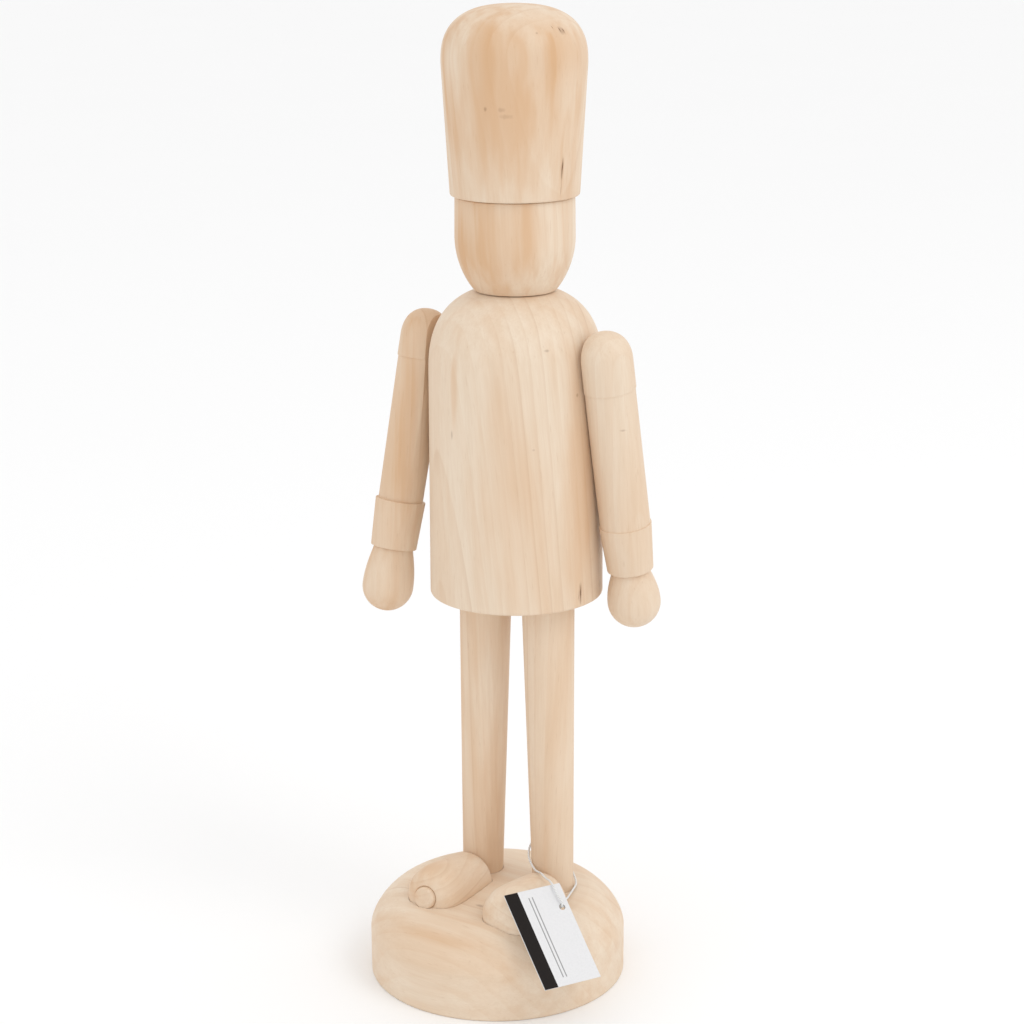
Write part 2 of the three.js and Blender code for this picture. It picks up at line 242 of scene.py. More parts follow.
def eased(points, steps=4):
    """An outline whose corners are rounded. A point is (radius, height) or (radius, height, round)."""
    outline = []
    for i, point in enumerate(points):
        here = Vector(point[:2])
        if len(point) < 3 or i in (0, len(points) - 1):
            outline.append(here)
            continue
        before = Vector(points[i - 1][:2]) - here
        after = Vector(points[i + 1][:2]) - here
        reach = min(point[2], before.length * 0.48, after.length * 0.48)
        start = here + before.normalized() * reach
        end = here + after.normalized() * reach
        for k in range(steps + 1):
            t = k / steps
            outline.append(start * (1 - t) ** 2 + here * 2 * t * (1 - t) + end * t ** 2)
    return outline


def skin(mesh, rows):
    """Joins each row of points to the next. A row is a ring, or a single point that closes an end."""
    around = max(len(row) for row in rows)
    for low, high in zip(rows, rows[1:]):
        for i in range(around):
            j = (i + 1) % around
            corners = [low[i % len(low)], low[j % len(low)], high[j % len(high)], high[i % len(high)]]
            mesh.faces.new(list(dict.fromkeys(corners)))
    bmesh.ops.recalc_face_normals(mesh, faces=mesh.faces)


def spin(outline, start, along, segments):
    """A closed mesh: an outline of (radius, distance) turned about a line."""
    turn = UP.rotation_difference(along)
    mesh = bmesh.new()
    rings = []
    for radius, distance in outline:
        if radius < 1e-7:
            rings.append([mesh.verts.new(start + turn @ Vector((0, 0, distance)))])
            continue
        ring = []
        for i in range(segments):
            a = 2 * math.pi * i / segments
            point = Vector((radius * math.cos(a), radius * math.sin(a), distance))
            ring.append(mesh.verts.new(start + turn @ point))
        rings.append(ring)
    skin(mesh, rings)
    return mesh


def solid(name, mesh, sharp=34):
    """A linked object of a finished mesh, smooth but for its sharp edges."""
    data = bpy.data.meshes.new(name)
    mesh.to_mesh(data)
    mesh.free()
    piece = bpy.data.objects.new(name, data)
    bpy.context.scene.collection.objects.link(piece)
    smooth(data, sharp)
    return piece


def smooth(data, sharp=34):
    data.shade_smooth()
    data.set_sharp_from_angle(angle=math.radians(sharp))


def turned(name, outline, start=AXIS, along=UP):
    return solid(name, spin(outline, start, along, bpy.context.scene.soldier_look.segments))


def carve(piece, cutters):
    """Takes the cutters out of a piece, and deletes them."""
    for cutter in cutters:
        cut = piece.modifiers.new("Carve", "BOOLEAN")
        cut.operation = "DIFFERENCE"
        cut.solver = "EXACT"
        cut.object = cutter
    bpy.context.view_layer.update()
    graph = bpy.context.evaluated_depsgraph_get()
    data = bpy.data.meshes.new_from_object(piece.evaluated_get(graph))
    piece.modifiers.clear()
    old = piece.data
    piece.data = data
    bpy.data.meshes.remove(old)
    data.name = piece.name
    for cutter in cutters:
        bpy.data.objects.remove(cutter)
    smooth(data)
    return piece


def rod(radius, start, end):
    """A plain round cutter between two points."""
    way = end - start
    outline = [Vector((0, 0)), Vector((radius, 0)), Vector((radius, way.length)), Vector((0, way.length))]
    return turned("cutter", outline, start, way.normalized())


def slit(place, outward, along, length, width, depth, bend=0.0):
    """A thin crack's cutter, its place in millimetres: a wedge that narrows to nothing at both ends."""
    outward = Vector(outward).normalized()
    across = outward.cross(Vector(along)).normalized()
    along = across.cross(outward)
    stations = 9
    mesh = bmesh.new()
    rows = []
    for i in range(stations):
        t = i / (stations - 1)
        belly = math.sin(math.pi * t) ** 0.7 * (1 + 0.35 * math.sin(11 * t + length / MM))
        line = Vector(place) * MM + along * (t - 0.5) * length + across * bend * math.sin(2 * math.pi * t)
        if i in (0, stations - 1):
            rows.append([mesh.verts.new(line)])
            continue
        rows.append([
            mesh.verts.new(line + across * width / 2 * belly + outward * MM),
            mesh.verts.new(line - across * width / 2 * belly + outward * MM),
            mesh.verts.new(line - outward * depth * belly),
        ])
    skin(mesh, rows)
    return solid("cutter", mesh)


def stand_for(piece, node, body, material):
    """The piece rides on a body in place of a CAD node, in its finish."""
    piece.data.materials.clear()
    piece.data.materials.append(material)
    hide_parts(node)
    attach(piece, body)
    return piece


def wooden(piece, node, body=BODY):
    """The piece stands for a CAD node, in raw wood."""
    return stand_for(piece, node, body, wood(node))


# Shader node groups.


def new_group(name, inputs, outputs):
    """An empty shader group with its sockets. A socket is (name, type) or (name, type, default)."""
    group = bpy.data.node_groups.new(name, "ShaderNodeTree")
    for way, sockets in (("INPUT", inputs), ("OUTPUT", outputs)):
        for label, kind, *default in sockets:
            made = group.interface.new_socket(name=label, in_out=way, socket_type="NodeSocket" + kind)
            if default:
                made.default_value = default[0]
    return group, group.nodes.new("NodeGroupInput").outputs, group.nodes.new("NodeGroupOutput").inputs


def put(tree, socket, value):
    """Feeds a socket from another socket, or sets it."""
    if isinstance(value, bpy.types.NodeSocket):
        tree.links.new(value, socket)
    else:
        socket.default_value = value


def calc(tree, operation, *values, clamp=False):
    node = tree.nodes.new("ShaderNodeMath")
    node.operation = operation
    node.use_clamp = clamp
    for socket, value in zip(node.inputs, values):
        put(tree, socket, value)
    return node.outputs[0]


def vector(tree, operation, *values):
    node = tree.nodes.new("ShaderNodeVectorMath")
    node.operation = operation
    for socket, value in zip(node.inputs, values):
        put(tree, socket, value)
    return node.outputs["Value"] if operation == "LENGTH" else node.outputs["Vector"]


def noise(tree, place, scale, detail=3.0, roughness=0.5):
    node = tree.nodes.new("ShaderNodeTexNoise")
    put(tree, node.inputs["Vector"], place)
    put(tree, node.inputs["Scale"], scale)
    put(tree, node.inputs["Detail"], detail)
    put(tree, node.inputs["Roughness"], roughness)
    return node.outputs["Fac"]


def between(tree, value, low, high, start=0.0, end=1.0):
    """Smoothly takes a value from one range to another."""
    node = tree.nodes.new("ShaderNodeMapRange")
    node.interpolation_type = "SMOOTHSTEP"
    labels = ("Value", "From Min", "From Max", "To Min", "To Max")
    for label, given in zip(labels, (value, low, high, start, end)):
        put(tree, node.inputs[label], given)
    return node.outputs["Result"]


def blend(tree, amount, first, second):
    """Mixes two colours."""
    node = tree.nodes.new("ShaderNodeMix")
    node.data_type = "RGBA"
    put(tree, node.inputs["Factor"], amount)
    for label, given in (("A", first), ("B", second)):
        socket = next(s for s in node.inputs if s.name == label and s.type == "RGBA")
        put(tree, socket, given if isinstance(given, bpy.types.NodeSocket) else (*given, 1))
    return next(s for s in node.outputs if s.type == "RGBA")


def shifted(tree, place, seed, axes):
    """Moves a place along the named axes by a seed, so that each piece has grain of its own."""
    shift = tree.nodes.new("ShaderNodeCombineXYZ")
    for axis in axes:
        put(tree, shift.inputs[axis], seed)
    return vector(tree, "ADD", place, shift.outputs["Vector"])


def growth_rings():
    """Growth rings about a pith line that runs along Z."""
    inputs = [
        ("Vector", "Vector"), ("Pith", "Vector", (0.05, 0.05, 0)), ("Spacing", "Float", 0.005),
        ("Waviness", "Float", 0.004), ("Seed", "Float", 0.0),
    ]
    group, given, wanted = new_group("growth_rings", inputs, [("Rings", "Float"), ("Lines", "Float")])
    stretched = vector(group, "MULTIPLY", given["Vector"], (1, 1, 0.13))
    seeded = shifted(group, stretched, given["Seed"], "XY")
    broad = calc(group, "SUBTRACT", noise(group, seeded, 22, 2), 0.5)
    fine = calc(group, "SUBTRACT", noise(group, seeded, 95, 2), 0.5)
    wave = calc(group, "ADD", calc(group, "MULTIPLY", broad, 2.6), calc(group, "MULTIPLY", fine, 0.32))
    flat = vector(group, "MULTIPLY", vector(group, "SUBTRACT", given["Vector"], given["Pith"]), (1, 1, 0))
    radius = calc(group, "MULTIPLY_ADD", wave, given["Waviness"], vector(group, "LENGTH", flat))
    count = calc(group, "DIVIDE", radius, given["Spacing"])
    ring = calc(group, "FRACT", count)
    rise = between(group, ring, 0.72, 0.955)
    fall = between(group, ring, 0.955, 0.995, 1.0, 0.0)
    whole = calc(group, "FLOOR", count)
    uneven = group.nodes.new("ShaderNodeTexWhiteNoise")
    uneven.noise_dimensions = "1D"
    put(group, uneven.inputs["W"], whole)
    fading = between(group, noise(group, seeded, 38, 2), 0.42, 0.66)
    strength = calc(group, "MULTIPLY", between(group, uneven.outputs["Value"], 0.15, 1.0), fading)
    line = calc(group, "MULTIPLY", calc(group, "MULTIPLY", rise, fall), strength)
    put(group, wanted["Lines"], line)
    put(group, wanted["Rings"], calc(group, "MULTIPLY", calc(group, "POWER", ring, 1.7), fall))
    return group


def wood_fibres():
    """Fine fibres and pores that run along Z."""
    outputs = [("Fibres", "Float"), ("Pores", "Float"), ("Height", "Float")]
    group, given, wanted = new_group("wood_fibres", [("Vector", "Vector"), ("Seed", "Float", 0.0)], outputs)
    apart = vector(group, "ADD", given["Vector"], (0.37, 0.11, 0))
    seeded = shifted(group, apart, given["Seed"], "X")
    long = vector(group, "MULTIPLY", seeded, (1, 1, 0.035))
    short = vector(group, "MULTIPLY", seeded, (1, 1, 0.09))
    coarse = noise(group, long, 420, 3, 0.62)
    thin = noise(group, long, 1700, 2, 0.6)
    fibres = calc(group, "MULTIPLY_ADD", thin, 0.45, calc(group, "MULTIPLY", coarse, 0.55))
    pores = between(group, noise(group, short, 1500, 1), 0.66, 0.78)
    put(group, wanted["Fibres"], between(group, fibres, 0.36, 0.66))
    put(group, wanted["Pores"], pores)
    put(group, wanted["Height"], calc(group, "SUBTRACT", fibres, calc(group, "MULTIPLY", pores, 0.5)))
    return group


def warm_patches():
    """Broad soft patches of warmer wood, drawn out along Z."""
    inputs = [("Vector", "Vector"), ("Scale", "Float", 24.0), ("Seed", "Float", 0.0)]
    group, given, wanted = new_group("warm_patches", inputs, [("Patches", "Float"), ("Streaks", "Float")])
    seeded = shifted(group, given["Vector"], given["Seed"], "Y")
    soft = vector(group, "MULTIPLY", seeded, (1, 1, 0.3))
    drawn = vector(group, "MULTIPLY", seeded, (1, 1, 0.07))
    patches = noise(group, soft, given["Scale"], 3, 0.55)
    streaks = noise(group, drawn, calc(group, "MULTIPLY", given["Scale"], 4.2), 3, 0.6)
    put(group, wanted["Patches"], between(group, patches, 0.38, 0.68))
    put(group, wanted["Streaks"], between(group, streaks, 0.44, 0.66))
    return group


def stain_or_shade_spot():
    """A soft spot of a given place and size, used for stains in the wood and for a patch of painted shade."""
    inputs = [
        ("Vector", "Vector"), ("Place", "Vector"), ("Size", "Vector", (0.002, 0.002, 0.002)),
        ("Rough", "Float", 900.0),
    ]
    group, given, wanted = new_group("stain_or_shade_spot", inputs, [("Mask", "Float")])
    off = vector(group, "DIVIDE", vector(group, "SUBTRACT", given["Vector"], given["Place"]), given["Size"])
    drawn = vector(group, "MULTIPLY", given["Vector"], (1, 1, 0.25))
    rough = calc(group, "SUBTRACT", noise(group, drawn, given["Rough"], 2), 0.5)
    reach = calc(group, "MULTIPLY_ADD", rough, 1.0, vector(group, "LENGTH", off))
    put(group, wanted["Mask"], between(group, reach, 0.25, 1.15, 1.0, 0.0))
    return group


def lathe_marks():
    """Faint rings left by the gouge and the sandpaper, square to Z."""
    inputs = [("Vector", "Vector"), ("Seed", "Float", 0.0)]
    group, given, wanted = new_group("lathe_marks", inputs, [("Height", "Float")])
    seeded = shifted(group, given["Vector"], given["Seed"], "Z")
    wide = noise(group, vector(group, "MULTIPLY", seeded, (0.06, 0.06, 1)), 260, 2)
    thin = noise(group, vector(group, "MULTIPLY", seeded, (0.03, 0.03, 1)), 1500, 2)
    put(group, wanted["Height"], calc(group, "MULTIPLY_ADD", thin, 0.35, calc(group, "MULTIPLY", wide, 0.65)))
    return group


GROUP_MAKERS = {
    make.__name__: make for make in (growth_rings, wood_fibres, warm_patches, stain_or_shade_spot, lathe_marks)
}


def use_group(tree, name, **values):
    """Places a shared group in a tree, with its own values, and gives its outputs."""
    shared = bpy.data.node_groups.get(name) or GROUP_MAKERS[name]()
    node = tree.nodes.new("ShaderNodeGroup")
    node.node_tree = shared
    for label, value in values.items():
        put(tree, node.inputs[label.capitalize()], value)
    return node.outputs


# Finishes.


# A cut of wood: where its pith lies and how its grain leans, and how marked it is.
Cut = namedtuple("Cut", "pith lean spacing waviness seed warmth lines", defaults=(0.5, 0.5))
# A stain in the wood, or a patch of painted shade, in millimetres: its place and half sizes, and its
# strength. A glow is warm; the big warm glow on the torso under the left arm is painted shade.
StainOrShade = namedtuple("StainOrShade", "place size strength glow", defaults=(0.6, False))

CUTS = {
    "base": Cut((0.020, 0.150, 0), (0, 90, 34), 0.0058, 0.0022, 1.7, 0.42, 0.26),
    "torso": Cut((-0.055, -0.115, 0), (-3, 5, 0), 0.0048, 0.0030, 3.1, 0.36, 0.30),
    "head": Cut((0.130, 0.060, 0), (-2, 2, 0), 0.0052, 0.0034, 5.3, 0.80, 0.22),
    "hat": Cut((-0.135, 0.060, 0), (2, 4, 0), 0.0052, 0.0040, 7.9, 0.80, 0.24),
    "leg_right": Cut((0.090, 0.088, 0), (0, 2, 0), 0.0044, 0.0022, 11.2, 0.48, 0.30),
    "leg_left": Cut((0.110, -0.040, 0), (2, -2, 0), 0.0042, 0.0022, 13.6, 0.32, 0.30),
    "foot_right": Cut((0.03, 0.09, 0), (80, 0, 4), 0.0040, 0.0016, 17.4, 0.52, 0.28),
    "foot_left": Cut((-0.03, 0.09, 0), (80, 0, 4), 0.0040, 0.0016, 19.8, 0.60, 0.26),
    "arm_right": Cut((0.060, 0.090, 0), (10, 4, 0), 0.0040, 0.0022, 23.3, 0.60, 0.34),
    "arm_left": Cut((-0.065, 0.085, 0), (-8, -2, 0), 0.0044, 0.0022, 29.1, 0.26, 0.28),
    "dowel": Cut((0.05, 0.06, 0), (0, 0, 0), 0.0030, 0.0012, 31.0, 0.30, 0.40),
}

STAINS_AND_SHADE = {
    "base": [
        StainOrShade((4.8, -19.0, 33.2), (2.0, 1.2, 2.0), 0.35),
    ],
    "torso": [
        StainOrShade((34.2, 6.5, 158.6), (1.3, 1.0, 5.4), 0.5),
        StainOrShade((33.6, 4.9, 235.2), (1.1, 0.8, 0.9), 0.45),
        StainOrShade((27.3, -5.7, 252.9), (1.3, 1.3, 0.6), 0.30),
        StainOrShade((25.0, -11.1, 216.6), (0.7, 0.7, 0.5), 0.20),
        StainOrShade((-5.2, -20.1, 220.0), (0.6, 0.6, 2.2), 0.30),
        StainOrShade((-4.0, -20.5, 238.0), (2.2, 2.2, 20.0), 0.40, True),
        StainOrShade((18.0, -16.5, 205.0), (16, 16, 50), 0.26, True),
        # Painted shade: a broad warm darkening down the torso's side under the left arm, in the crease
        # between arm and torso.
        StainOrShade((33.5, 6.0, 200.0), (9, 9, 60), 0.50, True),
    ],
    "head": [
        StainOrShade((12.5, -8.5, 293.0), (18, 18, 26), 0.45, True),
        StainOrShade((17.5, -4.0, 292.0), (2.6, 2.6, 24.0), 0.55, True),
        StainOrShade((2.0, -10.0, 290.0), (2.0, 2.0, 24.0), 0.40, True),
    ],
    "hat": [
        StainOrShade((10.0, -11.0, 337.0), (22, 22, 36), 0.62, True),
        StainOrShade((15.5, -8.5, 334.0), (6, 6, 36), 0.36, True),
        StainOrShade((25.9, 6.7, 317.2), (0.9, 0.7, 5.2), 0.5),
        StainOrShade((24.9, 7.4, 366.0), (2.0, 1.6, 1.8), 0.3),
        StainOrShade((21.0, -2.4, 365.7), (0.5, 0.5, 0.5), 0.3),
        StainOrShade((6.4, -13.5, 339.3), (0.7, 0.7, 0.9), 0.35),
        StainOrShade((12.0, -11.7, 339.2), (1.6, 1.6, 1.0), 0.20),
        StainOrShade((13.6, -11.0, 336.8), (2.8, 2.8, 1.0), 0.16),
    ],
    "arm_left": [
        StainOrShade((49.9, 10.8, 222.7), (1.6, 1.6, 0.5), 0.25),
    ],
}
STAIN_ROUGH = 900
GLOW_ROUGH = 150


def blank_material(name):
    made = bpy.data.materials.new(name)
    made.use_nodes = True
    surface = made.node_tree.nodes["Principled BSDF"]
    return made, made.node_tree, surface


def relief(tree, surface, height, strength, depth):
    """Gives a surface a fine bump."""
    bump = tree.nodes.new("ShaderNodeBump")
    bump.inputs["Strength"].default_value = strength
    bump.inputs["Distance"].default_value = depth
    tree.links.new(height, bump.inputs["Height"])
    tree.links.new(bump.outputs["Normal"], surface.inputs["Normal"])


def flat_map(tree):
    """The two directions of a piece's UV map."""
    parts = tree.nodes.new("ShaderNodeSeparateXYZ")
    tree.links.new(tree.nodes.new("ShaderNodeTexCoord").outputs["UV"], parts.inputs["Vector"])
    return parts.outputs["X"], parts.outputs["Y"]


def wood(piece_name):
    """Raw sanded wood for one piece, with its own grain."""
    look = bpy.context.scene.soldier_look
    cut = CUTS[piece_name]
    made, tree, surface = blank_material(piece_name + "_wood")
    place = tree.nodes.new("ShaderNodeTexCoord").outputs["Object"]
    grain = tree.nodes.new("ShaderNodeMapping")
    grain.vector_type = "POINT"
    grain.inputs["Rotation"].default_value = [math.radians(a) for a in cut.lean]
    tree.links.new(place, grain.inputs["Vector"])
    grain = grain.outputs["Vector"]
    rings = use_group(
        tree, "growth_rings",
        vector=grain, pith=cut.pith, spacing=cut.spacing, waviness=cut.waviness, seed=cut.seed,
    )
    fibres = use_group(tree, "wood_fibres", vector=grain, seed=cut.seed)
    patches = use_group(tree, "warm_patches", vector=grain, seed=cut.seed)
    marks = use_group(tree, "lathe_marks", vector=place, seed=cut.seed)
    warmth = calc(tree, "MULTIPLY", rings["Rings"], 0.10)
    warmth = calc(tree, "MULTIPLY_ADD", patches["Patches"], cut.warmth, warmth)
    warmth = calc(tree, "MULTIPLY_ADD", patches["Streaks"], 0.55 * cut.warmth, warmth, clamp=True)
    tint = blend(tree, warmth, look.pale, look.warm)
    tint = blend(tree, calc(tree, "MULTIPLY", rings["Lines"], cut.lines), tint, look.line)
    tint = blend(tree, calc(tree, "MULTIPLY", fibres["Fibres"], 0.20), tint, look.fibre)
    tint = blend(tree, calc(tree, "MULTIPLY", fibres["Pores"], 0.14), tint, look.line)
    # Stains and knots in the wood; on the torso, also a broad warm patch of painted shade under the left arm.
    for stain_or_shade in STAINS_AND_SHADE.get(piece_name, ()):
        mark = use_group(
            tree, "stain_or_shade_spot",
            vector=place, place=Vector(stain_or_shade.place) * MM, size=Vector(stain_or_shade.size) * MM,
            rough=GLOW_ROUGH if stain_or_shade.glow else STAIN_ROUGH,
        )
        # Warm tone for glows, painted shade among them; dark tone for knots and cracks.
        tone = look.warm if stain_or_shade.glow else look.flaw
        tint = blend(tree, calc(tree, "MULTIPLY", mark["Mask"], stain_or_shade.strength), tint, tone)
    tree.links.new(tint, surface.inputs["Base Color"])
    tree.links.new(between(tree, fibres["Height"], 0.2, 0.8, 0.66, 0.50), surface.inputs["Roughness"])
    surface.inputs["Specular IOR Level"].default_value = 0.35
    raised = calc(tree, "MULTIPLY_ADD", marks["Height"], 0.5, fibres["Height"])
    relief(tree, surface, raised, 0.22, 0.12 * MM)
    return made


def printed_card():
    """Stiff card with a plain dark band down one long edge and two fine rules."""
    look = bpy.context.scene.soldier_look
    made, tree, surface = blank_material("printed_card")
    place = tree.nodes.new("ShaderNodeTexCoord").outputs["Object"]
    across, up = flat_map(tree)
    fuzz = calc(tree, "SUBTRACT", noise(tree, place, 2600, 2), 0.5)
    ink = calc(tree, "LESS_THAN", calc(tree, "MULTIPLY_ADD", fuzz, 0.006, across), 0.235)
    for at in (0.385, 0.445):
        rule = calc(tree, "COMPARE", across, at, 0.009)
        ends = calc(tree, "COMPARE", up, 0.50, 0.42)
        ink = calc(tree, "MAXIMUM", ink, calc(tree, "MULTIPLY", calc(tree, "MULTIPLY", rule, ends), 0.62))
    speckle = noise(tree, place, 1400, 4, 0.6)
    grey = between(tree, speckle, 0.35, 0.75, 0.0, 0.35)
    paper = blend(tree, grey, look.card, [c * 0.86 for c in look.card])
    tree.links.new(blend(tree, ink, paper, look.ink), surface.inputs["Base Color"])
    tree.links.new(between(tree, speckle, 0.3, 0.7, 0.42, 0.55), surface.inputs["Roughness"])
    surface.inputs["Specular IOR Level"].default_value = 0.18
    relief(tree, surface, speckle, 0.12, 0.05 * MM)
    return made


def twisted_cord():
    """Fine white cord of twisted strands, with painted shade darkening the grooves between them."""
    look = bpy.context.scene.soldier_look
    made, tree, surface = blank_material("twisted_cord")
    around, along = flat_map(tree)
    strands = calc(tree, "MULTIPLY", around, 3)
    turns = calc(tree, "MULTIPLY_ADD", along, 1 / (1.3 * MM), strands)
    strand = calc(tree, "SINE", calc(tree, "MULTIPLY", turns, 2 * math.pi))
    strand = between(tree, strand, -1.0, 0.6)
    # Painted shade: the cord's colour darkens to 0.72 in the grooves between the strands, where the bump is
    # lowest.
    tint = blend(tree, strand, [c * 0.72 for c in look.cord], look.cord)
    tree.links.new(tint, surface.inputs["Base Color"])
    tree.links.new(between(tree, strand, 0, 1, 0.85, 0.7), surface.inputs["Roughness"])
    relief(tree, surface, strand, 0.6, 0.12 * MM)
    return made


def studio_floor():
    """Pale matt paper."""
    look = bpy.context.scene.soldier_look
    made, tree, surface = blank_material("studio_floor")
    place = tree.nodes.new("ShaderNodeTexCoord").outputs["Object"]
    soft = noise(tree, place, 3, 2)
    tint = blend(tree, soft, look.floor, [c * 0.99 for c in look.floor])
    tree.links.new(tint, surface.inputs["Base Color"])
    surface.inputs["Roughness"].default_value = 0.9
    surface.inputs["Specular IOR Level"].default_value = 0.1
    return made


# Outlines of the pieces, and the cutters for their holes.


def base_outline(sizes):
    radius = span("base").x / 2
    top = span("base").z - sizes.crown
    points = [(0, 0), (radius, 0, sizes.edge), (radius, sizes.wall)]
    for c, s in ellipse(sizes.squareness, 40)[1:]:
        points.append((sizes.flat + (radius - sizes.flat) * c, sizes.wall + (top - sizes.wall) * s))
    for i in range(7, -1, -1):
        points.append((sizes.flat * i / 8, top + sizes.crown * (1 - (i / 8) ** 2)))
    return eased(points)


def leg_line(limbs, side):
    low = AXIS + Vector((side * limbs.leg_low_half, 0, limbs.leg_low))
    top = AXIS + Vector((side * limbs.leg_high_half, 0, limbs.leg_high))
    along = (top - low).normalized()
    below = (limbs.leg_low - limbs.leg_end) / along.z
    return low - along * below, along, (top - low).length + below


def leg(limbs, side, grow=0.0):
    start, along, length = leg_line(limbs, side)
    slope = (limbs.leg_high_radius - limbs.leg_low_radius) / (limbs.leg_high - limbs.leg_low)
    end_radius = limbs.leg_high_radius - slope * length + grow
    tenon = limbs.tenon_radius + grow
    tip = length + limbs.tenon_length + grow
    points = [
        (0, -grow), (end_radius, -grow, 0.6 * MM), (limbs.leg_high_radius + grow, length, 0.35 * MM),
        (tenon, length), (tenon, tip, 0.6 * MM), (0, tip),
    ]
    return turned("leg", eased(points), start, along)


def foot(limbs, side, grow=0.0):
    start = AXIS + Vector((side * (limbs.leg_low_half + limbs.foot_out), 0, limbs.foot_height))
    flat = math.cos(limbs.foot_lift)
    turn = limbs.foot_turn
    along = Vector((flat * math.sin(turn), -flat * math.cos(turn), math.sin(limbs.foot_lift)))
    radius = limbs.foot_radius + grow
    heel = limbs.foot_heel - grow
    points = [(0, heel)]
    for c, s in ellipse(2, 14):
        points.append((radius - limbs.heel_round * (1 - s), heel + limbs.heel_round * (1 - c)))
    nose = limbs.foot_toe - limbs.foot_nose
    reach = limbs.foot_nose + grow
    rim = limbs.nub_radius + grow if side < 0 else 0
    lip = rim + limbs.nub_groove
    for c, s in ellipse(limbs.foot_power, 48):
        if radius * c > (lip if rim else 0.1 * MM):
            points.append((radius * c, nose + reach * s))
    end = limbs.foot_toe + grow
    if rim:
        shelf = nose + reach * (1 - (lip / radius) ** limbs.foot_power) ** (1 / limbs.foot_power)
        end += limbs.nub_length
        points += [(lip, shelf, 0.15 * MM), (rim, shelf - limbs.nub_groove)]
        points += [(rim - 0.1 * MM, end - 0.5 * MM, 0.3 * MM), (limbs.nub_end_radius + grow, end, 0.3 * MM)]
    points.append((0, end))
    return turned("foot", eased(points), start, along)


def torso_outline(figure):
    low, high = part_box("torso")
    points = [(0, low.z), (figure.torso_low, low.z, 1.0 * MM), (figure.torso_high, figure.shoulder)]
    k = (high.z - figure.shoulder) / figure.shoulder_rise
    neck = figure.torso_high * (1 - k ** figure.shoulder_power) ** (1 / figure.shoulder_power)
    for c, s in ellipse(figure.shoulder_power, 60)[1:]:
        if figure.torso_high * c > neck + 0.3 * MM:
            points.append((figure.torso_high * c, figure.shoulder + figure.shoulder_rise * s))
    points += [(neck, high.z, 0.3 * MM), (0, high.z)]
    return eased(points)


def head_outline(figure):
    low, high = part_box("head")
    k = (figure.cheek - low.z) / figure.chin_drop
    flat = figure.cheek_radius * (1 - k ** figure.chin_power) ** (1 / figure.chin_power)
    points = [(0, low.z), (flat, low.z, 0.3 * MM)]
    for c, s in reversed(ellipse(figure.chin_power, 60)):
        if figure.cheek_radius * c > flat + 0.3 * MM:
            points.append((figure.cheek_radius * c, figure.cheek - figure.chin_drop * s))
    points += [(figure.brow_radius, high.z, 0.5 * MM), (0, high.z)]
    return eased(points)


def hat_outline(figure):
    low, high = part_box("hat")
    radius = span("hat").x / 2
    points = [(0, low.z), (figure.rim_radius, low.z, figure.rim_edge)]
    for c, s in ellipse(figure.crown_power, 60):
        points.append((radius * c, figure.crown_low + (high.z - figure.crown_low) * s))
    return eased(points)


# An arm's own sizes, in millimetres. Distances run down from the top of its cap.
Sleeve = namedtuple(
    "Sleeve", "splay swing cap_r cap top_r low_r sleeve cuff_top_r cuff_low_r cuff wrist_r hand_r end"
)
SLEEVES = {
    "right": Sleeve(3.2, 11.8, 9.43, 19.1, 9.08, 8.61, 74.4, 9.67, 8.84, 93.0, 7.5, 9.86, 118.1),
    "left": Sleeve(2.4, -8.85, 9.91, 21.9, 9.6, 9.55, 75.7, 9.98, 8.79, 94.2, 6.8, 10.12, 117.8),
}


def arm_outline(limbs, sleeve):
    dome = limbs.cap_dome / MM
    points = [(sleeve.cap_r * c, dome * (1 - s)) for c, s in reversed(ellipse(2.2, 40))]
    step = 0.05
    points += [
        (sleeve.cap_r, sleeve.cap, 0.25), (sleeve.top_r, sleeve.cap + step),
        (sleeve.low_r, sleeve.sleeve - step), (sleeve.cuff_top_r, sleeve.sleeve, 0.3),
        (sleeve.cuff_low_r, sleeve.cuff, 0.35), (sleeve.wrist_r, sleeve.cuff + step),
    ]
    ball = sleeve.end - sleeve.hand_r
    for i in range(1, 25):
        s = math.sin(i / 24 * math.pi / 2)
        swell = sleeve.wrist_r + (sleeve.hand_r - sleeve.wrist_r) * s
        points.append((swell, sleeve.cuff + (ball - sleeve.cuff) * i / 24))
    for i in range(1, 29):
        a = i / 28 * math.pi / 2
        points.append((sleeve.hand_r * math.cos(a), ball + sleeve.hand_r * math.sin(a)))
    return [point * MM for point in eased(points)]


# The wide cutter that flattens an arm's inner side.
FLAT_CUT_RADIUS = 160 * MM
FLAT_CUT_DEPTH = 40 * MM


def pivot(word):
    joint = next(j for j in frame["joints"] if j["name"] == word + "_shoulder")
    return Vector(joint["pos_m"])


HOLE_SLACK = 0.3 * MM
HOLE_END = 0.9 * MM


def dowel_hole(node):
    """A cutter round a dowel, a little wider and longer than it."""
    low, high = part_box(node)
    radius = (high.x - low.x) / 2 + HOLE_SLACK
    return rod(radius, AXIS + UP * (low.z - HOLE_END), AXIS + UP * (high.z + HOLE_END))


# The cord's line: from behind the card, through its hole, over the foot, round the leg and back.
CORD_LINE = [
    (36.2, -12.0, 38.7), (37.6, -12.6, 38.4), (38.9, -13.2, 39.6), (38.4, -12.9, 41.5),
    (36.3, -12.4, 43.2), (33.9, -11.4, 45.7), (30.4, -8.9, 46.3), (26.8, -5.7, 45.1),
    (22.7, -2.8, 45.0), (15.7, 2.7, 43.4), (10.8, 6.2, 46.4), (8.7, 12.0, 49.4),
    (10.9, 18.3, 47.8), (16.1, 21.4, 42.6), (21.8, 20.8, 37.0), (25.9, 17.2, 34.5),
    (27.9, 12.0, 34.2), (29.6, 6.9, 34.5), (31.3, 2.2, 35.0), (32.7, -2.6, 35.9),
    (34.1, -7.2, 37.3), (35.2, -10.4, 38.6),
]


